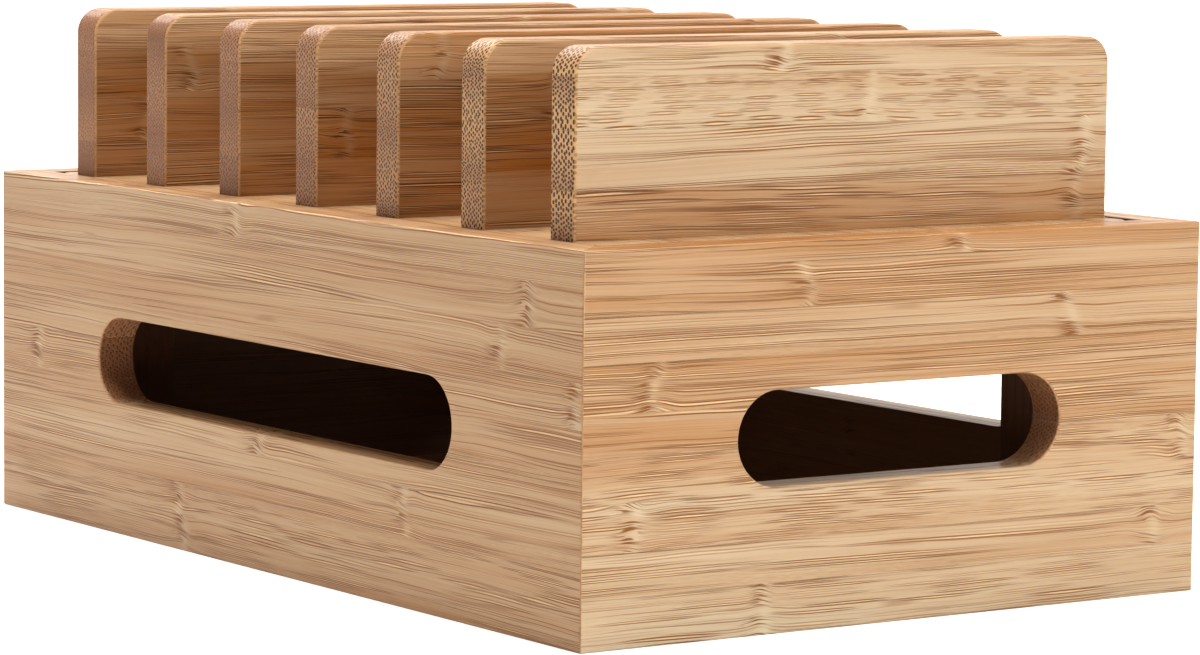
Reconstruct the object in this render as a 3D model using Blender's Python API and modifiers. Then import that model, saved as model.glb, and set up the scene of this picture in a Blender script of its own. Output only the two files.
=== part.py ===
"""A bamboo charging box for phones and tablets, at its real size in metres.

Four mitred walls, a base board and four corner posts are glued and screwed into one box, with a
round-ended cord slot in every wall but the back one. A lid board drops in between the walls and
rests on the posts. Upright dividers stand across the lid, and each is held by two countersunk
screws from below.

X runs along the dividers, Y from the front wall to the back wall, and Z up. The origin is on the
floor, under the middle of the box.
"""

import math

import bmesh
import bpy

# The dividers and the bays between them
divider_count = 7
divider_length = 0.147
divider_height = 0.0415
divider_thickness = 0.0095
divider_corner_radius = 0.006
divider_ease = 0.0008
divider_margin = 0.0085  # from the lid's edge to the first and the last divider
bay_width = 0.026

# The lid board, which is as wide as the dividers are long
lid_thickness = 0.0095
lid_corner_radius = 0.003
lid_ease = 0.0004
lid_seam = 0.0003  # gap to the front and left walls, which the lid is pushed against
lid_finger_gap = 0.0032  # gap to the back and right walls

# The box
box_height = 0.085
wall_thickness = 0.0095
wall_ease = 0.0006
base_thickness = 0.006
post_side = 0.022
post_ease = 0.0005

# The cord slots, halfway up the walls
slot_height = 0.021
front_slot_margin = 0.0405  # from the box's corner to the end of the slot
side_slot_margin = 0.051  # the same, on the left and the right

# The countersunk wood screws
screw_head_radius = 0.0032
screw_head_rim = 0.0004
screw_shank_radius = 0.0016
screw_tip_length = 0.003
screw_sink = 0.0004  # how far the head lies inside the board
screw_recess_reach = 0.0019
screw_recess_width = 0.0008
screw_recess_tip_width = 0.0005
screw_recess_depth = 0.0012
divider_screw_length = 0.024
divider_screw_inset = 0.030  # from the divider's end
base_screw_length = 0.020

# Gaps and allowances
fit_gap = 0.0003  # between pieces that touch or are glued
cut_overrun = 0.002
weld_distance = 0.000001

# How finely round shapes are divided
corner_steps = 5
slot_end_steps = 12
turned_steps = 12
ease_steps = 2
sharp_angle = math.radians(30)
flat_angle = math.radians(0.5)

# What follows from the sizes above
lid_width = divider_length
lid_depth = (
    divider_count * divider_thickness + (divider_count - 1) * bay_width + 2 * divider_margin
)
box_width = lid_width + lid_seam + lid_finger_gap + 2 * wall_thickness
box_depth = lid_depth + lid_seam + lid_finger_gap + 2 * wall_thickness
lid_shift = (lid_seam - lid_finger_gap) / 2  # the lid's middle from the box's, in X and in Y
lid_underside = box_height - lid_thickness

bamboo = (0.66, 0.44, 0.23)
pale_bamboo = (0.70, 0.48, 0.27)
stained_bamboo = (0.14, 0.052, 0.019)
zinc = (0.62, 0.60, 0.55)


def new_collection(name):
    collection = bpy.data.collections.new(name)
    bpy.context.scene.collection.children.link(collection)
    return collection


def finish(name, colour, roughness, metallic):
    material = bpy.data.materials.new(name)
    material.use_nodes = True
    shader = material.node_tree.nodes["Principled BSDF"]
    shader.inputs["Base Color"].default_value = (*colour, 1)
    shader.inputs["Roughness"].default_value = roughness
    shader.inputs["Metallic"].default_value = metallic
    return material


def mesh_of(source, whole_faces=False):
    """The mesh that an object's modifiers or curve settings give, welded and facing out."""
    bpy.context.view_layer.update()
    graph = bpy.context.evaluated_depsgraph_get()
    mesh = bpy.data.meshes.new_from_object(source.evaluated_get(graph))
    shape = bmesh.new()
    shape.from_mesh(mesh)
    bmesh.ops.remove_doubles(shape, verts=shape.verts, dist=weld_distance)
    if whole_faces:
        bmesh.ops.dissolve_limit(
            shape, angle_limit=flat_angle, verts=shape.verts, edges=shape.edges
        )
    bmesh.ops.recalc_face_normals(shape, faces=shape.faces)
    shape.to_mesh(mesh)
    shape.free()
    return mesh


def flat_mesh(name, outlines, thickness):
    """A board drawn in its own XY plane. The outlines after the first are holes in it."""
    curve = bpy.data.curves.new(name, "CURVE")
    curve.dimensions = "2D"
    curve.fill_mode = "BOTH"
    curve.extrude = thickness / 2
    for outline in outlines:
        spline = curve.splines.new("POLY")
        spline.points.add(len(outline) - 1)
        for point, (x, y) in zip(spline.points, outline):
            point.co = (x, y, 0, 1)
        spline.use_cyclic_u = True
    drawing = bpy.data.objects.new(name, curve)
    bpy.context.scene.collection.objects.link(drawing)
    mesh = mesh_of(drawing, whole_faces=True)
    bpy.data.objects.remove(drawing)
    mesh.name = name
    return mesh


def slab_mesh(name, width, depth, height):
    mesh = bpy.data.meshes.new(name)
    shape = bmesh.new()
    bmesh.ops.create_cube(shape, size=1)
    bmesh.ops.scale(shape, vec=(width, depth, height), verts=shape.verts)
    shape.to_mesh(mesh)
    shape.free()
    return mesh


def arc(centre_x, centre_y, radius, start_degrees, end_degrees, steps):
    points = []
    for step in range(steps + 1):
        angle = math.radians(start_degrees + (end_degrees - start_degrees) * step / steps)
        points.append((centre_x + radius * math.cos(angle), centre_y + radius * math.sin(angle)))
    return points


def rectangle(width, height):
    return [
        (-width / 2, -height / 2),
        (width / 2, -height / 2),
        (width / 2, height / 2),
        (-width / 2, height / 2),
    ]


def rounded_rectangle(width, height, radius):
    x = width / 2 - radius
    y = height / 2 - radius
    return (
        arc(x, y, radius, 0, 90, corner_steps)
        + arc(-x, y, radius, 90, 180, corner_steps)
        + arc(-x, -y, radius, 180, 270, corner_steps)
        + arc(x, -y, radius, 270, 360, corner_steps)
    )


def round_ended_slot(length, height):
    radius = height / 2
    x = length / 2 - radius
    return arc(x, 0, radius, -90, 90, slot_end_steps) + arc(
        -x, 0, radius, 90, 270, slot_end_steps
    )


def rounded_top(length, height, radius):
    """A board's face with its two upper corners rounded, standing on Y = 0."""
    x = length / 2 - radius
    y = height - radius
    return (
        [(-length / 2, 0), (length / 2, 0)]
        + arc(x, y, radius, 0, 90, corner_steps)
        + arc(-x, y, radius, 90, 180, corner_steps)
    )


def place(name, mesh, location, collection, turn=(0, 0, 0), material=None, parent=None):
    piece = bpy.data.objects.new(name, mesh)
    piece.location = location
    piece.rotation_euler = turn
    piece.parent = parent
    if material:
        mesh.materials.clear()
        mesh.materials.append(material)
    collection.objects.link(piece)
    return piece


def as_cutter(piece):
    piece.hide_render = True
    piece.display_type = "WIRE"
    return piece


def ease_edges(piece, width):
    bevel = piece.modifiers.new("eased edges", "BEVEL")
    bevel.width = width
    bevel.segments = ease_steps
    bevel.limit_method = "ANGLE"
    bevel.angle_limit = sharp_angle


def cut(piece, cutter):
    """Cuts away one object, or every object of a collection."""
    boolean = piece.modifiers.new("cut " + cutter.name, "BOOLEAN")
    boolean.operation = "DIFFERENCE"
    boolean.solver = "EXACT"
    if isinstance(cutter, bpy.types.Collection):
        boolean.operand_type = "COLLECTION"
        boolean.collection = cutter
    else:
        boolean.object = cutter


def make_wall(name, length, location, turn, slot_margin=None):
    """A wall whose outer face is at its own Y = 0 and whose ends are mitred inwards."""
    outlines = [rectangle(length, box_height)]
    if slot_margin is not None:
        outlines.append(round_ended_slot(length - 2 * slot_margin, slot_height))
    board = flat_mesh(name, outlines, wall_thickness)
    frame = bpy.data.objects.new(name + "_place", None)
    frame.location = location
    frame.rotation_euler = (0, 0, turn)
    parts.objects.link(frame)
    wall = place(
        name,
        board,
        (0, wall_thickness / 2, box_height / 2),
        parts,
        (math.pi / 2, 0, 0),
        bamboo_finish,
        frame,
    )
    ease_edges(wall, wall_ease)
    waste_side = 4 * wall_thickness
    waste = slab_mesh("mitre_waste", waste_side, waste_side, box_height + 2 * cut_overrun)
    away = (waste_side - fit_gap) / 2 * math.cos(math.pi / 4)
    for side, end in (("left", -1), ("right", 1)):
        cutter = place(
            f"{name}_{side}_mitre",
            waste,
            (end * (length / 2 - wall_thickness / 2 + away), wall_thickness / 2 + away, box_height / 2),
            cutters,
            (0, 0, math.pi / 4),
            parent=frame,
        )
        cut(wall, as_cutter(cutter))


def make_walls():
    side, end = box_width / 2, box_depth / 2
    make_wall("front_wall", box_width, (0, -end, 0), 0, front_slot_margin)
    make_wall("right_wall", box_depth, (side, 0, 0), math.pi / 2, side_slot_margin)
    make_wall("back_wall", box_width, (0, end, 0), math.pi)
    make_wall("left_wall", box_depth, (-side, 0, 0), -math.pi / 2, side_slot_margin)


def screw_profile(length, spread, mouth):
    """A screw that points up, from its tip down to its head, as (radius, height) pairs."""
    cone = screw_head_radius - screw_shank_radius
    shank = screw_shank_radius + spread
    head = screw_head_radius + spread
    return [
        (shank, length - screw_tip_length),
        (shank, screw_head_rim + cone),
        (head, screw_head_rim),
        (head, -mouth),
        (0, -mouth),
    ]


def turned(name, profile, collection):
    """A profile at +X, top to bottom, turned about Z."""
    mesh = bpy.data.meshes.new(name)
    shape = bmesh.new()
    points = [shape.verts.new((radius, 0, height)) for radius, height in profile]
    for upper, lower in zip(points, points[1:]):
        shape.edges.new((upper, lower))
    shape.to_mesh(mesh)
    shape.free()
    piece = place(name, mesh, (0, 0, 0), collection)
    turn = piece.modifiers.new("turned", "SCREW")
    turn.steps = turned_steps
    turn.render_steps = turned_steps
    turn.use_merge_vertices = True
    turn.merge_threshold = weld_distance
    return piece


def cross_outline():
    """The recess in a screw's head: four arms that narrow towards their tips."""
    tip, half, reach = screw_recess_tip_width / 2, screw_recess_width / 2, screw_recess_reach
    arm = [(reach, -tip), (reach, tip), (half, half)]
    points = []
    for quarter in range(4):
        angle = quarter * math.pi / 2
        for x, y in arm:
            points.append(
                (
                    x * math.cos(angle) - y * math.sin(angle),
                    x * math.sin(angle) + y * math.cos(angle),
                )
            )
    return points


def screw_mesh(name, length):
    profile = [(0, length)] + screw_profile(length, 0, 0)
    blank = turned(name, profile, cutters)
    recess_mesh = flat_mesh(name + "_recess", [cross_outline()], 2 * screw_recess_depth)
    recess = place(name + "_recess", recess_mesh, (0, 0, 0), cutters)
    cut(blank, as_cutter(recess))
    mesh = mesh_of(blank)
    mesh.shade_smooth()
    mesh.set_sharp_from_angle(angle=sharp_angle)
    bpy.data.objects.remove(blank)
    bpy.data.objects.remove(recess)
    mesh.name = name
    return mesh


def hole_mesh(name, length):
    """What a screw's hole takes out of the boards: the screw with a gap all round it."""
    end = length + fit_gap
    profile = [(0, end), (screw_shank_radius + fit_gap, end)]
    profile += screw_profile(length, fit_gap, screw_sink + cut_overrun)[1:]
    blank = turned(name, profile, cutters)
    mesh = mesh_of(blank)
    bpy.data.objects.remove(blank)
    return mesh


def drive_screw(name, screw, hole, holes, x, y, board_underside):
    head = (x, y, board_underside + screw_sink)
    place(name, screw, head, parts, material=screw_finish)
    as_cutter(place(name + "_hole", hole, head, holes))


def make_base():
    holes = bpy.data.collections.new("base screw holes")
    cutters.children.link(holes)
    screw = screw_mesh("base_screw", base_screw_length)
    hole = hole_mesh("base_screw_hole", base_screw_length)
    inner_width = box_width - 2 * wall_thickness - 2 * fit_gap
    inner_depth = box_depth - 2 * wall_thickness - 2 * fit_gap
    board = slab_mesh("base_board", inner_width, inner_depth, base_thickness)
    base = place("base_board", board, (0, 0, base_thickness / 2), parts, material=base_finish)
    post_bottom = base_thickness + fit_gap
    post_height = lid_underside - fit_gap - post_bottom
    post_x = (inner_width - post_side) / 2
    post_y = (inner_depth - post_side) / 2
    stock = slab_mesh("corner_post", post_side, post_side, post_height)
    for corner, x, y in (
        ("front_left", -post_x, -post_y),
        ("front_right", post_x, -post_y),
        ("back_left", -post_x, post_y),
        ("back_right", post_x, post_y),
    ):
        middle = (x, y, post_bottom + post_height / 2)
        post = place("post_" + corner, stock, middle, parts, material=post_finish)
        ease_edges(post, post_ease)
        cut(post, holes)
        drive_screw("base_screw_" + corner, screw, hole, holes, x, y, 0)
    cut(base, holes)


def make_lid():
    holes = bpy.data.collections.new("divider screw holes")
    cutters.children.link(holes)
    screw = screw_mesh("divider_screw", divider_screw_length)
    hole = hole_mesh("divider_screw_hole", divider_screw_length)
    outline = rounded_rectangle(lid_width, lid_depth, lid_corner_radius)
    board = flat_mesh("lid_board", [outline], lid_thickness)
    middle = (lid_shift, lid_shift, box_height - lid_thickness / 2)
    lid = place("lid_board", board, middle, parts, material=lid_finish)
    ease_edges(lid, lid_ease)
    cut(lid, holes)
    outline = rounded_top(divider_length, divider_height - fit_gap, divider_corner_radius)
    divider_board = flat_mesh("divider", [outline], divider_thickness)
    screw_x = divider_length / 2 - divider_screw_inset
    for index in range(divider_count):
        y = lid_shift + (index - (divider_count - 1) / 2) * (divider_thickness + bay_width)
        divider = place(
            f"divider_{index + 1}",
            divider_board,
            (lid_shift, y, box_height + fit_gap),
            parts,
            (math.pi / 2, 0, 0),
            divider_finish,
        )
        ease_edges(divider, divider_ease)
        cut(divider, holes)
        for side, x in (("left", -screw_x), ("right", screw_x)):
            name = f"divider_screw_{index + 1}_{side}"
            drive_screw(name, screw, hole, holes, lid_shift + x, y, lid_underside)


for leftover in list(bpy.data.objects):
    bpy.data.objects.remove(leftover)
parts = new_collection("phone and tablet organizer")
cutters = new_collection("cutters")
bamboo_finish = finish("bamboo walls", bamboo, 0.5, 0)
lid_finish = finish("bamboo lid", bamboo, 0.35, 0)
divider_finish = finish("bamboo dividers", pale_bamboo, 0.5, 0)
post_finish = finish("bamboo posts", stained_bamboo, 0.6, 0)
base_finish = finish("bamboo base", stained_bamboo, 0.6, 0)
screw_finish = finish("zinc screws", zinc, 0.35, 1)
make_walls()
make_base()
make_lid()
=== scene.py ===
"""Looks of the bamboo charging box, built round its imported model, in the order it is put together."""

import math

import bmesh
import bpy
from mathutils import Matrix, Vector


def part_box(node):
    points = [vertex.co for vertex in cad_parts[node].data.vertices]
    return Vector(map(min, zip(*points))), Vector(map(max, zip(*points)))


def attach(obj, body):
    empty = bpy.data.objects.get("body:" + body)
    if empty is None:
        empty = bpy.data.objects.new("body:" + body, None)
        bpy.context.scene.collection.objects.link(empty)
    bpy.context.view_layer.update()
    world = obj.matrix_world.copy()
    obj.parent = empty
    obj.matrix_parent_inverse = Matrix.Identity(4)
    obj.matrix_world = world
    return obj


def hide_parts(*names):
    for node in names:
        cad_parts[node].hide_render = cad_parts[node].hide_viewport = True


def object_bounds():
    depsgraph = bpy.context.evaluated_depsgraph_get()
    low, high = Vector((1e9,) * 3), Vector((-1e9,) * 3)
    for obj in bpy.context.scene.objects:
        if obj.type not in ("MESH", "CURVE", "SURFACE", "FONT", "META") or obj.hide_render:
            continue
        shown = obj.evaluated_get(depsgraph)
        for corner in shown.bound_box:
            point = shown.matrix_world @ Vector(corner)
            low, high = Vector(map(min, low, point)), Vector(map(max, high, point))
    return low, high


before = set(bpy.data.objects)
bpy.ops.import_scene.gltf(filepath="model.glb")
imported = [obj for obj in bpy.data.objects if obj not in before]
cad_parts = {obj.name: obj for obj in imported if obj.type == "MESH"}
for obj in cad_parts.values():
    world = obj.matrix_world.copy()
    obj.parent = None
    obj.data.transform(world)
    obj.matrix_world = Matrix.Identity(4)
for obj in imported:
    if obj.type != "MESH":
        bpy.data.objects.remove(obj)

model_low, model_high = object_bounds()


# Walls
# Four boards of side-pressed bamboo, each glued up from strips about 10 mm high, mitred and glued
# at the corners. All but the back one have a round-ended cord slot. The outer face is lacquered,
# and the inner face is painted dark brown, as painted shade for the dim inside of the box.
wall_thickness = 0.0095
wall_ease = 0.0006
wall_inner_ease = 0.00025  # on the edges next to the lid
mitre_seam = 0.00003  # how far each end stays clear of the corner's middle
slot_height = 0.021
front_slot_margin = 0.0405
side_slot_margin = 0.051
ease_steps = 4
slot_end_steps = 28
sharp_angle = math.radians(32)  # shading breaks where faces meet at more than this


def arc(centre_x, centre_z, radius, start_degrees, end_degrees, steps):
    """Points along a part of a circle, in X and Z."""
    points = []
    for number in range(steps + 1):
        angle = math.radians(start_degrees + (end_degrees - start_degrees) * number / steps)
        points.append((centre_x + radius * math.cos(angle), centre_z + radius * math.sin(angle)))
    return points


def eased_depths(thickness, first_ease, last_ease):
    """Depths into a board, each with how far its edges draw in there."""
    rows = []
    for number in range(ease_steps + 1):
        angle = math.radians(90 * number / ease_steps)
        rows.append((first_ease * (1 - math.cos(angle)), first_ease * (1 - math.sin(angle))))
    for number in range(ease_steps + 1):
        angle = math.radians(90 - 90 * number / ease_steps)
        depth = thickness - last_ease * (1 - math.cos(angle))
        rows.append((depth, last_ease * (1 - math.sin(angle))))
    return rows


def stacked_board(name, layers):
    """Skins a stack of like outlines. Each layer is (depth, [outer outline, hole])."""
    shape = bmesh.new()
    rings = []
    for depth, outlines in layers:
        rings.append([[shape.verts.new((x, depth, z)) for x, z in line] for line in outlines])
    for ring, following in zip(rings, rings[1:]):
        for line, next_line in zip(ring, following):
            for here in range(len(line)):
                there = (here + 1) % len(line)
                shape.faces.new((line[here], line[there], next_line[there], next_line[here]))
    for ring in (rings[0], rings[-1]):
        rim = []
        for line in ring:
            for here, corner in enumerate(line):
                rim.append(shape.edges.get((corner, line[(here + 1) % len(line)])))
        bmesh.ops.triangle_fill(shape, use_beauty=True, edges=rim)
    bmesh.ops.recalc_face_normals(shape, faces=shape.faces)
    mesh = bpy.data.meshes.new(name)
    shape.to_mesh(mesh)
    shape.free()
    return mesh


def wall_mesh(name, length, height, slot_margin):
    """A wall seen from outside: X along it, Z up it, Y from its outer face inwards."""
    slot_radius = slot_height / 2
    middle = height / 2
    layers = []
    for depth, inset in eased_depths(wall_thickness, wall_ease, wall_inner_ease):
        end = length / 2 - mitre_seam - max(depth, inset)
        low, high = inset, height - inset
        outlines = [[(-end, low), (end, low), (end, high), (-end, high)]]
        if slot_margin is not None:
            reach = length / 2 - slot_margin - slot_radius
            slot = arc(reach, middle, slot_radius + inset, -90, 90, slot_end_steps)
            slot += arc(-reach, middle, slot_radius + inset, 90, 270, slot_end_steps)
            outlines.append(slot)
        layers.append((depth, outlines))
    return stacked_board(name, layers)


def shading(tree):
    """Gives the calls that add one step to a shader tree and return its first result."""

    def step(kind, inputs, **settings):
        node = tree.nodes.new("ShaderNode" + kind)
        for setting, value in settings.items():
            setattr(node, setting, value)
        for socket, value in inputs.items():
            if isinstance(value, bpy.types.NodeSocket):
                tree.links.new(value, node.inputs[socket])
            else:
                node.inputs[socket].default_value = value
        return node.outputs[0]

    def maths(operation, first, second=0.0):
        return step("Math", {0: first, 1: second}, operation=operation)

    def ramped(value, low, high):
        wanted = {"Value": value, "From Min": low, "From Max": high}
        return step("MapRange", wanted, interpolation_type="SMOOTHSTEP")

    def mixed(share, first, second):
        inputs = {"Factor": share, 6: first, 7: second}
        return step("Mix", inputs, data_type="RGBA").node.outputs[2]

    return step, maths, ramped, mixed


# Colours of the bamboo, each with its alpha
dark_honey = (0.39, 0.15, 0.027, 1)
light_honey = (0.655, 0.54, 0.39, 1)
fibre_brown = (0.225, 0.078, 0.013, 1)
fibre_dark = (0.09, 0.026, 0.006, 1)  # in the darker strips
vessel_pale = (0.80, 0.56, 0.34, 1)  # the open core of a bundle
skin_brown = (0.40, 0.235, 0.12, 1)
end_pale = (0.67, 0.415, 0.205, 1)
end_tan = (0.44, 0.226, 0.123, 1)
end_brown = (0.27, 0.12, 0.06, 1)
end_dot = (0.06, 0.016, 0.006, 1)
# painted shade: the dark brown that stands for the dim inside of the box
inner_painted_shade = (0.12, 0.038, 0.011, 1)
glue_brown = (0.25, 0.12, 0.045, 1)

# Sizes of the grain, in millimetres
bundle_pitch = 1.9
bundle_crowding = 6.0  # how far the pattern is pushed together at the skin side
knuckle_reach = 6.5  # how far the fibres bow on either side of a knuckle
knuckle_heart = 1.8  # the pale stretch at its middle
knuckle_step = 2.5  # over how far the fibres step to another height
knuckle_stray = 7.0  # how far it wanders from straight across
dash_place = 2.2  # how far before its middle the dark dashes lie
dash_reach = 3.6
painted_shade_depth = 0.3  # how deep the painted shade takes to reach its full strength

# Shares of a bundle's cell, of a strip's height or of a full effect
bundle_height_share = 0.5
bundle_width_share = 0.32
bundle_rim_share = 0.85
bundle_scatter = 0.42
dot_least = 0.46
dot_growth = 0.62  # on a boldly dotted end
dot_edge = 0.4
seam_share = 0.022
# how strongly the painted shade darkens the inside of the box
painted_shade_share = 0.92
dark_strip_boldness = 1.4  # its lines' strength, against that in a light strip
drift_range = 60.0  # keeps the strips' patterns apart
face_roughness = 0.36
line_roughness = 0.12  # added on the lines
end_roughness = 0.14  # added on the cut ends


def bamboo_grain():
    """One shader for all the bamboo. The fibre bundles are tubes that run along the board, set out
    by a cell pattern across it, and closer together towards each strip's skin side. A face cuts
    them lengthwise, as pairs of brown lines round a pale core, and an end cuts them as dots."""
    tree = bpy.data.node_groups.new("bamboo grain", "ShaderNodeTree")
    step, maths, ramped, mixed = shading(tree)
    for name, kind in (
        ("Place", "Vector"),
        ("End", "Float"),
        # a painted highlight on the eased edges of the cut ends
        ("Edge Highlight", "Float"),
        ("Rise", "Float"),
        ("Recipe", "Color"),
        ("Skin Up", "Float"),
        ("Length", "Float"),
        ("Luck", "Float"),
        ("End Marks", "Float"),
        # the depth at which the painted shade of the box's inside starts
        ("Painted Shade From", "Float"),
    ):
        tree.interface.new_socket(name, in_out="INPUT", socket_type="NodeSocket" + kind)
    for name, kind in (("Colour", "Color"), ("Roughness", "Float"), ("Height", "Float")):
        tree.interface.new_socket(name, in_out="OUTPUT", socket_type="NodeSocket" + kind)
    given = tree.nodes.new("NodeGroupInput").outputs

    place = step("SeparateXYZ", {0: given["Place"]}).node.outputs
    along, through, across = place["X"], place["Y"], place["Z"]
    recipe = step("SeparateColor", {0: given["Recipe"]}).node.outputs
    tone, knuckle, slant = recipe["Red"], recipe["Green"], recipe["Blue"]
    strip_seed = step("CombineXYZ", {0: knuckle, 1: slant, 2: given["Luck"]})
    strip_luck = step("TexWhiteNoise", {"Vector": strip_seed}, noise_dimensions="3D")
    drift = maths("MULTIPLY", strip_luck, drift_range)

    def noise(height, along_rate, through_rate, height_rate, shift, detail=0.0):
        """Smooth noise, with how often it changes in a millimetre each way and a shift of its own."""
        where = step(
            "CombineXYZ",
            {
                0: maths("ADD", maths("MULTIPLY", along, along_rate), shift),
                1: maths("MULTIPLY", through, through_rate),
                2: maths("ADD", maths("MULTIPLY", height, height_rate), drift),
            },
        )
        inputs = {"Vector": where, "Scale": 1.0, "Detail": detail, "Roughness": 0.55}
        return step("TexNoise", inputs, noise_dimensions="3D")

    def swayed(value, amount):
        """Turns a noise round a half into a swing either way."""
        return maths("MULTIPLY", maths("SUBTRACT", value, 0.5), amount)

    def bell(distance, width):
        """One at no distance, and falling to nothing over about twice the width."""
        share = maths("DIVIDE", distance, width)
        return maths("EXPONENT", maths("MULTIPLY", maths("MULTIPLY", share, share), -1.0))

    # How near the skin side a point lies in its strip
    skin_down = maths("SUBTRACT", 1.0, given["Skin Up"])
    fall = maths("SUBTRACT", 1.0, given["Rise"])
    skin = maths(
        "ADD",
        maths("MULTIPLY", given["Rise"], given["Skin Up"]),
        maths("MULTIPLY", fall, skin_down),
    )

    # The knuckle, where the fibres swell round the old node of the cane
    centre = maths("MULTIPLY", maths("SUBTRACT", knuckle, 0.5), given["Length"])
    away = maths("SUBTRACT", along, centre)
    away = maths("ADD", away, swayed(noise(across, 0.0, 0.1, 0.13, 3.0), knuckle_stray))
    near = bell(away, knuckle_reach)
    heart = bell(away, knuckle_heart)
    beyond = ramped(away, -knuckle_step, knuckle_step)

    # The bent height at which a fibre runs
    lift = maths("ADD", across, swayed(noise(across, 0.008, 0.02, 0.035, 7.0), 5.0))
    lift = maths("ADD", lift, swayed(noise(across, 0.05, 0.05, 0.2, 11.0), 0.7))
    bow = swayed(noise(across, 0.07, 0.1, 0.16, 23.0), 4.5)
    lift = maths("ADD", lift, maths("MULTIPLY", near, bow))
    lift = maths("ADD", lift, maths("MULTIPLY", beyond, 0.8))

    # The bundles, set out like a brick bond across the cane
    crowding = maths("MULTIPLY", maths("MULTIPLY", skin, skin), bundle_crowding)
    side = maths("SUBTRACT", maths("MULTIPLY", given["Skin Up"], 2.0), 1.0)
    slope = maths("MULTIPLY", maths("MULTIPLY", maths("SUBTRACT", slant, 0.5), 0.2), along)
    depth = maths("ADD", through, slope)
    depth = maths("ADD", depth, swayed(noise(across, 0.006, 0.02, 0.1, 19.0), 1.0))
    crowded = maths("ADD", lift, maths("MULTIPLY", crowding, side))
    course = maths("DIVIDE", crowded, bundle_pitch)
    row = maths("DIVIDE", depth, bundle_pitch)
    cell = step(
        "CombineXYZ",
        {0: maths("ADD", maths("ADD", course, row), drift), 1: maths("SUBTRACT", course, row)},
    )
    pattern = {"Vector": cell, "Scale": 1.0, "Randomness": bundle_scatter}
    bundles = step("TexVoronoi", pattern, voronoi_dimensions="2D").node.outputs
    luck = step("SeparateColor", {0: bundles["Color"]}).node.outputs
    offset = step("VectorMath", {0: cell, 1: bundles["Position"]}, operation="SUBTRACT")
    offset = step("SeparateXYZ", {0: offset}).node.outputs
    tall = maths("DIVIDE", maths("ADD", offset["X"], offset["Y"]), bundle_height_share)
    wide = maths("DIVIDE", maths("SUBTRACT", offset["X"], offset["Y"]), bundle_width_share)
    out = maths("SQRT", maths("ADD", maths("MULTIPLY", tall, tall), maths("MULTIPLY", wide, wide)))
    from_rim = maths("ABSOLUTE", maths("SUBTRACT", out, bundle_rim_share))
    rim = maths("SUBTRACT", 1.0, ramped(from_rim, 0.15, 0.57))
    rim = maths("MULTIPLY", rim, ramped(maths("ABSOLUTE", tall), 0.2, 0.65))
    core = maths("SUBTRACT", 1.0, ramped(out, 0.4, 0.75))
    dot_size = maths("ADD", maths("MULTIPLY", given["End Marks"], dot_growth), dot_least)
    dot = maths("SUBTRACT", 1.0, ramped(out, dot_size, maths("ADD", dot_size, dot_edge)))
    bold = ramped(luck["Red"], -0.1, 0.45)
    fade = ramped(noise(lift, 0.012, 0.3, 0.5, 31.0), 0.36, 0.54)
    bunch = ramped(noise(lift, 0.004, 0.1, 0.17, 37.0), 0.34, 0.5)
    mark = maths("MULTIPLY", bold, maths("ADD", maths("MULTIPLY", fade, 0.55), 0.5))
    mark = maths("MULTIPLY", mark, maths("ADD", maths("MULTIPLY", bunch, 0.35), 0.65))

    # Hair lines between the bundles, strokes where a few fibres just break the surface, and the
    # short dark dashes stacked beside a knuckle
    level = maths("SUBTRACT", noise(lift, 0.005, 0.4, 0.8, 41.0), 0.5)
    hairs = maths("SUBTRACT", 1.0, ramped(maths("ABSOLUTE", level), 0.003, 0.018))
    strokes = ramped(noise(lift, 0.012, 0.8, 3.4, 43.0), 0.61, 0.68)
    worn = maths("MULTIPLY", maths("MAXIMUM", maths("MULTIPLY", hairs, 0.6), strokes), fade)
    stacked = ramped(noise(across, 0.05, 0.1, 0.3, 67.0), 0.42, 0.55)
    dashes = ramped(noise(lift, 0.12, 0.6, 3.2, 47.0), 0.51, 0.57)
    beside = bell(maths("ADD", away, dash_place), dash_reach)
    dashes = maths("MULTIPLY", maths("MULTIPLY", dashes, beside), stacked)
    flecks = ramped(noise(lift, 0.3, 3.0, 5.0, 53.0), 0.4, 0.7)
    patch = ramped(noise(across, 0.012, 0.1, 0.1, 89.0), 0.4, 0.6)
    flecks = maths("MULTIPLY", flecks, maths("MULTIPLY", ramped(skin, 0.3, 1.0), patch))

    # The colour of a face: shades of the strip's own tone, flecks, pale cores and brown lines
    fibres = noise(lift, 0.007, 3.0, 3.4, 59.0, 1.0)
    streaks = noise(lift, 0.006, 0.5, 0.9, 71.0, 1.0)
    clouds = noise(across, 0.008, 0.1, 0.12, 61.0, 2.0)
    shade = maths("ADD", tone, swayed(clouds, 0.6))
    shade = maths("SUBTRACT", shade, maths("MULTIPLY", skin, 0.15))
    shade = maths("ADD", shade, swayed(fibres, 0.3))
    shade = maths("ADD", shade, swayed(streaks, 0.35))
    shade = maths("ADD", shade, maths("MULTIPLY", heart, 0.15))
    face = mixed(shade, dark_honey, light_honey)
    face = mixed(maths("MULTIPLY", flecks, 0.45), face, skin_brown)
    face = mixed(maths("MULTIPLY", maths("MULTIPLY", core, mark), 0.75), face, vessel_pale)
    line = maths("MAXIMUM", maths("MULTIPLY", rim, mark), maths("MULTIPLY", worn, 0.7))
    lightness = ramped(tone, 0.22, 0.46)
    less_bold = maths("MULTIPLY", lightness, dark_strip_boldness - 1)
    line = maths("MULTIPLY", line, maths("SUBTRACT", dark_strip_boldness, less_bold))
    line = maths("MULTIPLY", line, maths("SUBTRACT", 1.0, maths("MULTIPLY", heart, 0.7)))
    line = maths("MAXIMUM", line, dashes)
    fibre = mixed(lightness, fibre_dark, fibre_brown)
    face = mixed(line, face, fibre)
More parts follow.
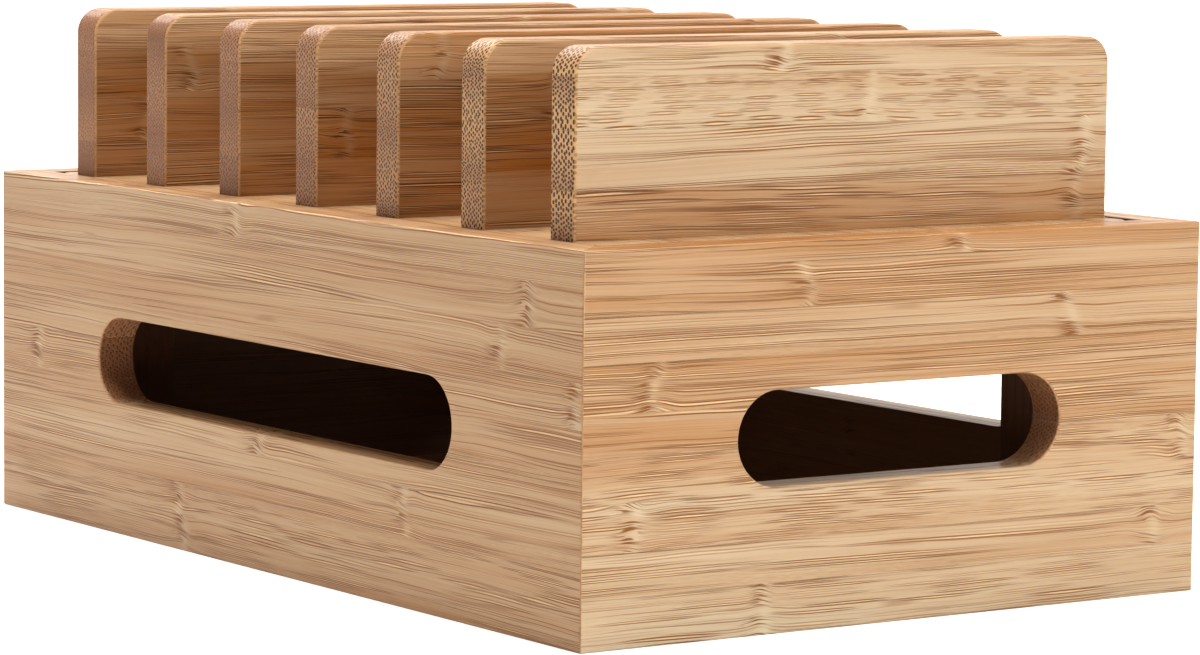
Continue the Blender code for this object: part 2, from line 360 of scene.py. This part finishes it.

    # The colour of a cut end, with its dots, and a painted highlight along its eased edges
    mottled = ramped(noise(across, 0.5, 1.7, 1.7, 101.0, 1.0), 0.35, 0.65)
    end_shade = maths("MULTIPLY", maths("SUBTRACT", 1.0, maths("MULTIPLY", skin, 0.5)), mottled)
    end_shade = maths("ADD", end_shade, swayed(strip_luck, 0.9))
    end_face = mixed(end_shade, end_brown, end_tan)
    end_face = mixed(ramped(given["End Marks"], 0.45, 1.08), end_face, end_pale)
    end_face = mixed(maths("MULTIPLY", maths("MULTIPLY", skin, skin), 0.6), end_face, end_brown)
    # painted highlight: the eased edges of a cut end are made paler and their dots fainter
    edge_highlight = maths("MULTIPLY", given["Edge Highlight"], 0.6)
    end_face = mixed(edge_highlight, end_face, end_pale)
    dotted = maths("MULTIPLY", dot, ramped(given["End Marks"], -0.3, 0.9))
    dotted = maths("MULTIPLY", dotted, maths("SUBTRACT", 1.0, edge_highlight))
    end_face = mixed(dotted, end_face, end_dot)
    colour = mixed(given["End"], face, end_face)

    # The glue seam at the top of each strip, and the painted shade that darkens the box's dim inside
    seam = maths("SUBTRACT", 1.0, ramped(fall, 0.0, seam_share))
    colour = mixed(maths("MULTIPLY", seam, 0.3), colour, glue_brown)
    fully_shaded = maths("ADD", given["Painted Shade From"], painted_shade_depth)
    painted_shade = maths("MULTIPLY", ramped(through, given["Painted Shade From"], fully_shaded), painted_shade_share)
    colour = mixed(painted_shade, colour, inner_painted_shade)

    made = tree.nodes.new("NodeGroupOutput").inputs
    tree.links.new(colour, made["Colour"])
    rough = maths("ADD", face_roughness, swayed(fibres, 0.2))
    rough = maths("ADD", rough, maths("MULTIPLY", line, line_roughness))
    rough = maths("ADD", rough, maths("MULTIPLY", given["End"], end_roughness))
    tree.links.new(rough, made["Roughness"])
    height = maths("SUBTRACT", maths("MULTIPLY", fibres, 0.35), maths("MULTIPLY", line, 0.9))
    pits = maths("MULTIPLY", maths("MULTIPLY", dot, given["End"]), 0.8)
    tree.links.new(maths("SUBTRACT", height, pits), made["Height"])
    return tree


grain = bamboo_grain()
millimetres = 1000  # in a metre
grain_relief = 0.0001
strip_start_share = 0.0002  # over which the rise falls from one strip's top to the next one's foot
lacquer_share = 0.22
lacquer_roughness = 0.2
gloss_share = 0.1  # of the bare wood under the lacquer


def bamboo(name, length, height, strips, luck, end_marks=0.6, painted_shade_from=1.0, fineness=1.0):
    """The finish of one board. Each strip, from the bottom up, is (its top as a share of the
    board's height, tone, place of its knuckle as a share of the length, slant, skin side up).
    end_marks says how boldly the cut ends are dotted. The next argument is the depth at which the
    painted shade for the box's dim inside starts, and a whole metre, which no board reaches, means
    none."""
    scale = millimetres * fineness
    material = bpy.data.materials.new(name)
    material.use_nodes = True
    tree = material.node_tree
    step, maths, ramped = shading(tree)[:3]
    where = step("TexCoord", {}).node.outputs
    place = step("VectorMath", {0: where["Object"], "Scale": scale}, operation="SCALE")
    up = step("SeparateXYZ", {0: where["Object"]}).node.outputs["Z"]
    share = maths("DIVIDE", up, height)
    recipe = step("ValToRGB", {"Fac": share}).node
    rise = step("ValToRGB", {"Fac": share}).node
    recipe.color_ramp.interpolation = "CONSTANT"
    bottom = 0.0
    for number, (top, tone, knuckle, slant, skin_up) in enumerate(strips):
        if number == 0:
            stop = recipe.color_ramp.elements[0]
            foot = rise.color_ramp.elements[0]
            recipe.color_ramp.elements.remove(recipe.color_ramp.elements[1])
            rise.color_ramp.elements.remove(rise.color_ramp.elements[1])
        else:
            stop = recipe.color_ramp.elements.new(bottom)
            foot = rise.color_ramp.elements.new(bottom + strip_start_share)
        stop.color = (tone, knuckle, slant, skin_up)
        foot.color = (0, 0, 0, 1)
        rise.color_ramp.elements.new(top).color = (1, 1, 1, 1)
        bottom = top
    facing = step("SeparateXYZ", {0: where["Normal"]}).node.outputs
    grained = tree.nodes.new("ShaderNodeGroup")
    grained.node_tree = grain
    tree.links.new(place, grained.inputs["Place"])
    tree.links.new(ramped(maths("ABSOLUTE", facing["X"]), 0.15, 0.5), grained.inputs["End"])
    # a painted highlight along the eased edges next to the faces
    tree.links.new(ramped(maths("ABSOLUTE", facing["Y"]), 0.25, 0.7), grained.inputs["Edge Highlight"])
    tree.links.new(rise.outputs["Color"], grained.inputs["Rise"])
    tree.links.new(recipe.outputs["Color"], grained.inputs["Recipe"])
    tree.links.new(recipe.outputs["Alpha"], grained.inputs["Skin Up"])
    grained.inputs["Length"].default_value = length * scale
    grained.inputs["Luck"].default_value = luck
    grained.inputs["End Marks"].default_value = end_marks
    # the depth at which the painted shade of the box's inside starts
    grained.inputs["Painted Shade From"].default_value = painted_shade_from * scale
    shader = tree.nodes["Principled BSDF"]
    tree.links.new(grained.outputs["Colour"], shader.inputs["Base Color"])
    tree.links.new(grained.outputs["Roughness"], shader.inputs["Roughness"])
    relief = {"Height": grained.outputs["Height"], "Strength": 1.0, "Distance": grain_relief}
    tree.links.new(step("Bump", relief), shader.inputs["Normal"])
    shader.inputs["Specular IOR Level"].default_value = gloss_share
    shader.inputs["Coat Weight"].default_value = lacquer_share
    shader.inputs["Coat Roughness"].default_value = lacquer_roughness
    return material


def set_in_place(name, mesh, place, body, material, replaced):
    """Puts a piece on its body, with soft shading over its eased edges."""
    for face in mesh.polygons:
        face.use_smooth = True
    mesh.set_sharp_from_angle(angle=sharp_angle)
    mesh.materials.clear()
    mesh.materials.append(material)
    piece = bpy.data.objects.new(name, mesh)
    piece.matrix_world = place
    bpy.context.scene.collection.objects.link(piece)
    evened = piece.modifiers.new("even shading", "WEIGHTED_NORMAL")
    evened.keep_sharp = True
    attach(piece, body)
    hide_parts(replaced)


wall_end_marks = 0.3
wall_luck = 1.37

# Each strip as its top, tone, knuckle, slant and skin side, as bamboo() takes them
wall_strips = {
    "front_wall": (
        (0.129, 0.76, 0.283, 0.62, 1),
        (0.241, 0.66, 0.930, 0.44, 0),
        (0.365, 0.67, 0.081, 0.34, 0),
        (0.482, 0.57, 0.979, 0.68, 1),
        (0.588, 0.43, 0.620, 0.55, 0),
        (0.711, 0.44, 0.114, 0.47, 1),
        (0.829, 0.57, 0.780, 0.50, 0),
        (0.946, 0.41, 0.342, 0.53, 0),
        (1.000, 0.42, 0.597, 0.46, 1),
    ),
    "left_wall": (
        (0.100, 0.51, 0.358, 0.60, 0),
        (0.188, 0.55, 0.349, 0.64, 1),
        (0.318, 0.57, 0.735, 0.47, 0),
        (0.435, 0.55, 0.496, 0.56, 1),
        (0.553, 0.51, 0.077, 0.44, 0),
        (0.671, 0.53, 0.993, 0.52, 1),
        (0.788, 0.51, 0.884, 0.50, 0),
        (0.906, 0.55, 0.923, 0.53, 1),
        (1.000, 0.59, 0.447, 0.49, 0),
    ),
    "back_wall": (
        (0.118, 0.57, 0.640, 0.56, 0),
        (0.235, 0.59, 0.210, 0.47, 1),
        (0.353, 0.55, 0.870, 0.61, 0),
        (0.471, 0.61, 0.430, 0.50, 1),
        (0.588, 0.57, 0.120, 0.42, 0),
        (0.706, 0.53, 0.760, 0.53, 1),
        (0.824, 0.59, 0.330, 0.49, 0),
        (1.000, 0.61, 0.910, 0.58, 1),
    ),
    "right_wall": (
        (0.106, 0.55, 0.220, 0.45, 1),
        (0.212, 0.59, 0.690, 0.57, 0),
        (0.341, 0.53, 0.460, 0.51, 1),
        (0.459, 0.59, 0.830, 0.39, 0),
        (0.576, 0.57, 0.140, 0.54, 1),
        (0.694, 0.55, 0.570, 0.48, 0),
        (0.812, 0.61, 0.310, 0.60, 1),
        (1.000, 0.59, 0.780, 0.50, 0),
    ),
}
box_width = model_high.x - model_low.x
box_depth = model_high.y - model_low.y
box_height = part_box("front_wall")[1].z
inner_face = wall_thickness - wall_inner_ease

# Each wall's length, slot margin, the middle of its foot, and how far it is turned from the front
wall_places = (
    ("front_wall", box_width, front_slot_margin, Vector((0, -box_depth / 2, 0)), 0),
    ("right_wall", box_depth, side_slot_margin, Vector((box_width / 2, 0, 0)), 90),
    ("back_wall", box_width, None, Vector((0, box_depth / 2, 0)), 180),
    ("left_wall", box_depth, side_slot_margin, Vector((-box_width / 2, 0, 0)), -90),
)
for number, (wall, length, margin, side, degrees) in enumerate(wall_places):
    strips = wall_strips[wall]
    luck = number + wall_luck
    # the inner face takes the painted shade of the box's dim inside
    finish = bamboo("bamboo " + wall, length, box_height, strips, luck, wall_end_marks, inner_face)
    turned = Matrix.Translation(side) @ Matrix.Rotation(math.radians(degrees), 4, "Z")
    mesh = wall_mesh(wall, length, box_height, margin)
    set_in_place(wall + "_board", mesh, turned, "box", finish, wall)


# Base screws and the holes that they need
# Zinc-plated countersunk wood screws with a cross recess, driven up through the base board, one
# into each corner post.
screw_head_radius = 0.0032
screw_head_rim = 0.0004
screw_shank_radius = 0.00125
screw_thread_radius = 0.0016
screw_thread_pitch = 0.0013
screw_plain_length = 0.006
screw_tip_length = 0.003
screw_tip_share = 0.06  # the tip's last radius as a share of the shank's
screw_thread_share = 0.4  # how much of the pitch the ridge takes
screw_turn_rings = 10  # rings of points in one turn of the thread
screw_sink = 0.0004
screw_recess_reach = 0.0019
screw_recess_width = 0.0008
screw_recess_depth = 0.0012
screw_recess_taper = 0.55  # its size at the bottom as a share of that at the face
screw_sides = 24
base_screw_length = 0.020
hole_slack = 0.0002


def turned_mesh(name, radius_at, heights):
    """A closed turned shape. radius_at gives the radius at a height and an angle."""
    shape = bmesh.new()
    rings = []
    for height in heights:
        ring = []
        for number in range(screw_sides):
            angle = 2 * math.pi * number / screw_sides
            radius = radius_at(height, angle)
            ring.append(shape.verts.new((radius * math.cos(angle), radius * math.sin(angle), height)))
        rings.append(ring)
    for ring, following in zip(rings, rings[1:]):
        for here in range(screw_sides):
            there = (here + 1) % screw_sides
            shape.faces.new((ring[here], ring[there], following[there], following[here]))
    shape.faces.new(rings[0])
    shape.faces.new(rings[-1])
    bmesh.ops.recalc_face_normals(shape, faces=shape.faces)
    mesh = bpy.data.meshes.new(name)
    shape.to_mesh(mesh)
    shape.free()
    return mesh


def cut_away(mesh, waste):
    """The mesh with the waste's shape taken out of it."""
    board = bpy.data.objects.new("board", mesh)
    tool = bpy.data.objects.new("tool", waste)
    for thing in (board, tool):
        bpy.context.scene.collection.objects.link(thing)
    cut = board.modifiers.new("cut", "BOOLEAN")
    cut.operation = "DIFFERENCE"
    cut.solver = "EXACT"
    cut.object = tool
    bpy.context.view_layer.update()
    graph = bpy.context.evaluated_depsgraph_get()
    result = bpy.data.meshes.new_from_object(board.evaluated_get(graph))
    bpy.data.objects.remove(board)
    bpy.data.objects.remove(tool)
    return result


def joined(name, copies):
    """One mesh of several, each given with where it goes."""
    shape = bmesh.new()
    for mesh, place in copies:
        first = len(shape.verts)
        shape.from_mesh(mesh)
        shape.verts.ensure_lookup_table()
        bmesh.ops.transform(shape, matrix=place, verts=shape.verts[first:])
    mesh = bpy.data.meshes.new(name)
    shape.to_mesh(mesh)
    shape.free()
    return mesh


def recess_arm(degrees):
    """One arm of the cross recess, as the waste that it leaves."""
    shape = bmesh.new()
    bmesh.ops.create_cube(shape, size=1)
    for corner in shape.verts:
        taper = 1 if corner.co.z < 0 else screw_recess_taper
        corner.co.x *= 2 * screw_recess_reach * taper
        corner.co.y *= screw_recess_width * taper
        corner.co.z *= 2 * screw_recess_depth
    turn = Matrix.Rotation(math.radians(degrees), 4, "Z")
    bmesh.ops.transform(shape, matrix=turn, verts=shape.verts)
    mesh = bpy.data.meshes.new("recess arm")
    shape.to_mesh(mesh)
    shape.free()
    return mesh


def screw_mesh(name, length):
    """A screw that points up, with the face of its head at Z = 0."""
    cone = screw_head_radius - screw_shank_radius
    thread_start = screw_head_rim + cone + screw_plain_length

    def radius_at(height, angle):
        if height <= screw_head_rim:
            return screw_head_radius
        if height < screw_head_rim + cone:
            return screw_head_radius - (height - screw_head_rim)
        narrowing = min(1, (length - height) / screw_tip_length + screw_tip_share)
        if height < thread_start:
            return screw_shank_radius
        turn = (height / screw_thread_pitch - angle / (2 * math.pi)) % 1
        ridge = max(0, 1 - abs(turn - 0.5) * 2 / screw_thread_share)
        grown = min(1, (height - thread_start) / screw_thread_pitch)
        thread = (screw_thread_radius - screw_shank_radius) * ridge * grown
        return (screw_shank_radius + thread) * narrowing

    heights = [0, screw_head_rim, screw_head_rim + cone, thread_start]
    rings = int((length - thread_start) / screw_thread_pitch * screw_turn_rings)
    for number in range(1, rings + 1):
        heights.append(thread_start + (length - thread_start) * number / rings)
    blank = turned_mesh(name, radius_at, heights)
    for degrees in (0, 90):
        blank = cut_away(blank, recess_arm(degrees))
    blank.name = name
    return blank


def hole_mesh(length):
    """What a screw's hole takes out of the wood. It is round, so its radius needs no angle."""
    cone = screw_head_radius - screw_shank_radius

    def radius_at(height, angle):
        if height <= screw_head_rim:
            return screw_head_radius + hole_slack
        if height < screw_head_rim + cone:
            return screw_head_radius + hole_slack - (height - screw_head_rim)
        return screw_shank_radius + hole_slack

    heights = [-2 * screw_sink, screw_head_rim, screw_head_rim + cone, length]
    return turned_mesh("hole", radius_at, heights)


zinc_blue = (0.60, 0.61, 0.62, 1)
zinc_yellow = (0.70, 0.66, 0.56, 1)
zinc_speck = (0.36, 0.34, 0.30, 1)
zinc_roughness = 0.24
zinc_dullness = 0.22  # added where it is specked
zinc_relief = 0.00003


def zinc():
    """Bright zinc plate with a faint blue and yellow cast and fine, duller specks."""
    material = bpy.data.materials.new("zinc plate")
    material.use_nodes = True
    tree = material.node_tree
    step, maths, ramped, mixed = shading(tree)
    where = step("TexCoord", {}).node.outputs["Object"]
    place = step("VectorMath", {0: where, "Scale": millimetres}, operation="SCALE")
    cloud = step("TexNoise", {"Vector": place, "Scale": 0.9, "Detail": 2.0})
    speck = step("TexNoise", {"Vector": place, "Scale": 9.0, "Detail": 3.0})
    colour = mixed(ramped(cloud, 0.35, 0.65), zinc_blue, zinc_yellow)
    colour = mixed(maths("MULTIPLY", ramped(speck, 0.55, 0.8), 0.4), colour, zinc_speck)
    shader = tree.nodes["Principled BSDF"]
    tree.links.new(colour, shader.inputs["Base Color"])
    shader.inputs["Metallic"].default_value = 1.0
    rough = maths("ADD", zinc_roughness, maths("MULTIPLY", speck, zinc_dullness))
    tree.links.new(rough, shader.inputs["Roughness"])
    relief = {"Height": speck, "Strength": 0.5, "Distance": zinc_relief}
    tree.links.new(step("Bump", relief), shader.inputs["Normal"])
    return material


def drive_screw(node, mesh, x, y, z, body):
    """Puts one screw in its hole, with its head down."""
    place = Matrix.Translation((x, y, z))
    set_in_place(node + "_fine", mesh.copy(), place, body, zinc_plate, node)


zinc_plate = zinc()
base_screw = screw_mesh("base_screw", base_screw_length)
base_hole = hole_mesh(base_screw_length)
corners = ("front_left", "front_right", "back_left", "back_right")
base_screw_places = []
for corner in corners:
    low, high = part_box("post_" + corner)
    middle = (low + high) / 2
    base_screw_places.append((middle.x, middle.y, screw_sink))
    drive_screw("base_screw_" + corner, base_screw, middle.x, middle.y, screw_sink, "box")


# Base board
# One thin side-pressed board, painted dark as painted shade for the box's dim inside. It is glued
# between the walls, flush with their lower edges, and its grain runs from front to back.
base_ease = 0.0002
base_corner_radius = 2 * base_ease
base_corner_steps = 2
base_luck = 5.9
board_end_marks = 0.6
shaded_throughout = -1.0  # a depth in front of the face, so that the painted shade is everywhere
knuckle_stride = 0.383  # from one strip's knuckle to the next one's, as a share of the length
first_knuckle = 0.17
lying = Matrix(((0, 0, 1, 0), (1, 0, 0, 0), (0, 1, 0, 0), (0, 0, 0, 1)))  # grain front to back


def plain_strips(count, tones, slants):
    """Strips of like height, with knuckles spread unevenly along them."""
    strips = []
    for number in range(count):
        knuckle = (number * knuckle_stride + first_knuckle) % 1
        tone = tones[number % len(tones)]
        strips.append(((number + 1) / count, tone, knuckle, slants[number % len(slants)], number % 2))
    return tuple(strips)


def flat_board(name, length, width, thickness, ease, corner_radius, corner_steps):
    """A board drawn from one edge, so that its strips count from Z = 0."""
    layers = []
    for depth, inset in eased_depths(thickness, ease, ease):
        radius = corner_radius - inset
        x, low, high = length / 2 - corner_radius, corner_radius, width - corner_radius
        outline = arc(x, high, radius, 0, 90, corner_steps)
        outline += arc(-x, high, radius, 90, 180, corner_steps)
        outline += arc(-x, low, radius, 180, 270, corner_steps)
        outline += arc(x, low, radius, 270, 360, corner_steps)
        layers.append((depth, [outline]))
    return stacked_board(name, layers)


def drilled(mesh, place, hole, screws):
    """Drills screw holes, whose places are in the frame of the whole box."""
    back = place.inverted()
    waste = joined("waste", [(hole, back @ Matrix.Translation(screw)) for screw in screws])
    return cut_away(mesh, waste)


low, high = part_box("base_board")
length, width, thickness = high.y - low.y, high.x - low.x, high.z - low.z
place = Matrix.Translation((low.x, (low.y + high.y) / 2, low.z)) @ lying
rounding = (base_corner_radius, base_corner_steps)
mesh = flat_board("base_board", length, width, thickness, base_ease, *rounding)
mesh = drilled(mesh, place, base_hole, base_screw_places)
strips = plain_strips(count=13, tones=(0.30, 0.42, 0.36), slants=(0.5, 0.55, 0.44))
finish = bamboo("bamboo base", length, width, strips, base_luck, board_end_marks, shaded_throughout)
set_in_place("base_board_fine", mesh, place, "box", finish, "base_board")


# Corner posts
# Four square sticks of the same bamboo, painted dark as painted shade for the box's dim inside, and
# glued into the corners. They carry the lid, and the base screws run into them from below.
post_ease = 0.0005
post_corner_radius = 2 * post_ease
post_corner_steps = 2
post_luck = 11.3
standing = Matrix(((0, -1, 0, 0), (0, 0, -1, 0), (1, 0, 0, 0), (0, 0, 0, 1)))  # grain upright
for number, corner in enumerate(corners):
    node = "post_" + corner
    low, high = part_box(node)
    length, side = high.z - low.z, high.x - low.x
    place = Matrix.Translation((high.x, high.y, (low.z + high.z) / 2)) @ standing
    rounding = (post_corner_radius, post_corner_steps)
    mesh = flat_board(node, length, side, side, post_ease, *rounding)
    mesh = drilled(mesh, place, base_hole, [base_screw_places[number]])
    strips = plain_strips(count=2, tones=(0.34, 0.26), slants=(0.48, 0.57))
    luck = post_luck + number
    finish = bamboo("bamboo " + node, length, side, strips, luck, board_end_marks, shaded_throughout)
    set_in_place(node + "_fine", mesh, place, "box", finish, node)


# Lid board
# A smooth board of the wall's thickness that drops in flush between the walls and rests on the
# posts. It is lacquered to a soft shine, and a 3 mm gap at its right and back edges frees it.
lid_ease = 0.0003
lid_corner_radius = 0.003
lid_corner_steps = 8
lid_luck = 23.1
divider_screw_length = 0.024
divider_screw_inset = 0.030
divider_names = [f"divider_{number}" for number in range(1, 8)]
lid_low, lid_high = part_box("lid_board")
divider_screw = screw_mesh("divider_screw", divider_screw_length)
divider_hole = hole_mesh(divider_screw_length)
divider_screw_places = {}
for name in divider_names:
    low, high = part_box(name)
    y, z = (low.y + high.y) / 2, lid_low.z + screw_sink
    for side, x in (("left", low.x + divider_screw_inset), ("right", high.x - divider_screw_inset)):
        divider_screw_places[name, side] = (x, y, z)
length, width, thickness = lid_high.y - lid_low.y, lid_high.x - lid_low.x, lid_high.z - lid_low.z
place = Matrix.Translation((lid_low.x, (lid_low.y + lid_high.y) / 2, lid_low.z)) @ lying
rounding = (lid_corner_radius, lid_corner_steps)
mesh = flat_board("lid_board", length, width, thickness, lid_ease, *rounding)
mesh = drilled(mesh, place, divider_hole, divider_screw_places.values())
strips = plain_strips(count=13, tones=(0.63, 0.69, 0.59, 0.67), slants=(0.5, 0.53, 0.47))
finish = bamboo("bamboo lid", length, width, strips, lid_luck)
set_in_place("lid_board_fine", mesh, place, "lid", finish, "lid_board")


# Dividers
# Seven upright boards of side-pressed bamboo with rounded upper corners and eased edges. They are
# glued to the lid, and two screws hold each from below.
divider_ease = 0.0008
divider_foot = 0.00025  # from the solid's lower face down to the lid
divider_corner_radius = 0.006
divider_corner_steps = 14
divider_luck = 31.7
divider_luck_step = 2.3
end_marks_step = 0.13  # each divider's end is fainter than the one in front of it
rear_fineness = 1.25  # how much finer the grain is in all but the front divider

# The strips of each divider, from the front one to the back one, as bamboo() takes them
divider_strips = (
    (
        (0.253, 0.35, 0.940, 0.60, 0),
        (0.566, 0.73, 0.955, 0.47, 0),
        (0.840, 0.75, 0.540, 0.86, 1),
        (1.0, 0.66, 0.374, 0.62, 1),
    ),
    (
        (0.300, 0.42, 0.230, 0.47, 1),
        (0.560, 0.20, 0.820, 0.55, 0),
        (0.820, 0.35, 0.130, 0.42, 1),
        (1.0, 0.45, 0.660, 0.56, 0),
    ),
    (
        (0.180, 0.25, 0.710, 0.53, 0),
        (0.460, 0.35, 0.310, 0.46, 1),
        (0.740, 0.28, 0.900, 0.57, 0),
        (1.0, 0.40, 0.080, 0.50, 1),
    ),
    (
        (0.260, 0.32, 0.480, 0.58, 1),
        (0.540, 0.22, 0.060, 0.49, 0),
        (0.800, 0.40, 0.620, 0.44, 0),
        (1.0, 0.42, 0.850, 0.54, 1),
    ),
    (
        (0.220, 0.30, 0.880, 0.45, 0),
        (0.480, 0.38, 0.390, 0.53, 1),
        (0.760, 0.30, 0.160, 0.50, 0),
        (1.0, 0.38, 0.550, 0.60, 1),
    ),
    (
        (0.280, 0.35, 0.350, 0.52, 1),
        (0.550, 0.26, 0.770, 0.47, 0),
        (0.830, 0.36, 0.050, 0.55, 1),
        (1.0, 0.44, 0.920, 0.48, 0),
    ),
    (
        (0.200, 0.30, 0.600, 0.50, 0),
        (0.470, 0.38, 0.100, 0.56, 1),
        (0.750, 0.32, 0.810, 0.45, 0),
        (1.0, 0.40, 0.270, 0.52, 1),
    ),
)


def divider_mesh(name, length, height, thickness):
    """A divider seen from the front. It reaches just under Z = 0, down to the lid."""
    layers = []
    for depth, inset in eased_depths(thickness, divider_ease, divider_ease):
        radius = divider_corner_radius - inset
        x, z = length / 2 - divider_corner_radius, height - divider_corner_radius
        end = length / 2 - inset
        outline = [(-end, -divider_foot), (end, -divider_foot)]
        outline += arc(x, z, radius, 0, 90, divider_corner_steps)
        outline += arc(-x, z, radius, 90, 180, divider_corner_steps)
        layers.append((depth, [outline]))
    return stacked_board(name, layers)


for number, (name, strips) in enumerate(zip(divider_names, divider_strips)):
    low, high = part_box(name)
    length, height, thickness = high.x - low.x, high.z - low.z, high.y - low.y
    place = Matrix.Translation(((low.x + high.x) / 2, low.y, low.z))
    mesh = divider_mesh(name, length, height, thickness)
    screws = [divider_screw_places[name, side] for side in ("left", "right")]
    mesh = drilled(mesh, place, divider_hole, screws)
    finish = bamboo(
        "bamboo " + name,
        length,
        height,
        strips,
        luck=divider_luck + divider_luck_step * number,
        end_marks=1 - end_marks_step * number,
        fineness=rear_fineness if number else 1,
    )
    set_in_place(name + "_fine", mesh, place, "lid", finish, name)
    for side, screw in zip(("left", "right"), screws):
        drive_screw(f"divider_screw_{number + 1}_{side}", divider_screw, *screw, "lid")


# Studio
# A white floor without an end, and four broad lamps: in front, on the left, behind and overhead.
# The camera stands where the photograph was taken from.
camera_heading = 34.3311
camera_dip = 5.8835
camera_roll = 0.6191
camera_lens = 145.505
camera_place = (-0.64882, -0.96312, 0.17263)
world_colour = (1.0, 0.97, 0.93, 1)
world_strength = 0.06
floor_radius = 12
floor_colour = (0.78, 0.78, 0.78, 1)
floor_glow = 0.65
floor_glow_rise = 0.4
floor_glow_start = 0.4
floor_glow_end = 2.5
lamp_aim = (0, 0, 0.06)


def seen_directly(tree):
    """One for the rays that the eye sees by, also in a shine or through glass, and else nought."""
    step, maths = shading(tree)[:2]
    path = step("LightPath", {}).node.outputs
    seen = maths("MAXIMUM", path["Is Camera Ray"], path["Is Glossy Ray"])
    return maths("MAXIMUM", seen, path["Is Transmission Ray"])


# The world is white to the eye and a soft warm light on the object
world = bpy.data.worlds.new("studio")
world.use_nodes = True
bpy.context.scene.world = world
tree = world.node_tree
soft = tree.nodes["Background"]
soft.inputs["Color"].default_value = world_colour
soft.inputs["Strength"].default_value = world_strength
bright = tree.nodes.new("ShaderNodeBackground")
bright.inputs["Color"].default_value = (1, 1, 1, 1)
blend = tree.nodes.new("ShaderNodeMixShader")
tree.links.new(seen_directly(tree), blend.inputs[0])
tree.links.new(soft.outputs[0], blend.inputs[1])
tree.links.new(bright.outputs[0], blend.inputs[2])
tree.links.new(blend.outputs[0], tree.nodes["World Output"].inputs[0])

# The floor takes the object's shadow, and glows more and more, so that its far end is white
floor_mesh = bpy.data.meshes.new("floor")
shape = bmesh.new()
bmesh.ops.create_circle(shape, cap_ends=True, radius=floor_radius, segments=64)
shape.to_mesh(floor_mesh)
shape.free()
floor = bpy.data.objects.new("floor", floor_mesh)
bpy.context.scene.collection.objects.link(floor)
paint = bpy.data.materials.new("white floor")
paint.use_nodes = True
tree = paint.node_tree
step, maths, ramped = shading(tree)[:3]
shader = tree.nodes["Principled BSDF"]
shader.inputs["Base Color"].default_value = floor_colour
shader.inputs["Roughness"].default_value = 0.9
shader.inputs["Emission Color"].default_value = (1, 1, 1, 1)
where = step("TexCoord", {}).node.outputs["Object"]
outwards = step("VectorMath", {0: where}, operation="LENGTH").node.outputs["Value"]
far = ramped(outwards, floor_glow_start, floor_glow_end)
glow = maths("ADD", maths("MULTIPLY", far, floor_glow_rise), floor_glow)
glow = maths("MULTIPLY", seen_directly(tree), glow)
tree.links.new(glow, shader.inputs["Emission Strength"])
floor_mesh.materials.append(paint)


def lamp(name, place, size, power, colour):
    """A round area lamp that points at the middle of the object."""
    light = bpy.data.lights.new(name, "AREA")
    light.shape = "DISK"
    light.size = size
    light.energy = power
    light.color = colour
    stand = bpy.data.objects.new(name, light)
    stand.location = place
    stand.rotation_euler = (Vector(lamp_aim) - Vector(place)).to_track_quat("-Z", "Y").to_euler()
    bpy.context.scene.collection.objects.link(stand)


lamp("front lamp", place=(0.3, -1.9, 0.65), size=0.7, power=23.2, colour=(0.99, 1.0, 0.95))
lamp("left lamp", place=(-1.7, 0.25, 0.4), size=0.8, power=3.4, colour=(1.0, 0.89, 0.74))
lamp("back lamp", place=(0.2, 1.6, 1.4), size=1.2, power=20, colour=(1.0, 0.93, 0.86))
lamp("top lamp", place=(0.0, 0.1, 1.9), size=1.4, power=61, colour=(1.0, 0.88, 0.71))

camera = bpy.data.objects.new("camera", bpy.data.cameras.new("camera"))
camera.data.lens = camera_lens
camera.data.sensor_width = 36
camera.data.clip_start = 0.05
camera.data.clip_end = 50
turn = (
    Matrix.Rotation(math.radians(-camera_heading), 4, "Z")
    @ Matrix.Rotation(math.radians(90 - camera_dip), 4, "X")
    @ Matrix.Rotation(math.radians(camera_roll), 4, "Z")
)
camera.matrix_world = Matrix.Translation(camera_place) @ turn
bpy.context.scene.collection.objects.link(camera)
bpy.context.scene.camera = camera
bpy.context.scene.view_settings.view_transform = "Standard"
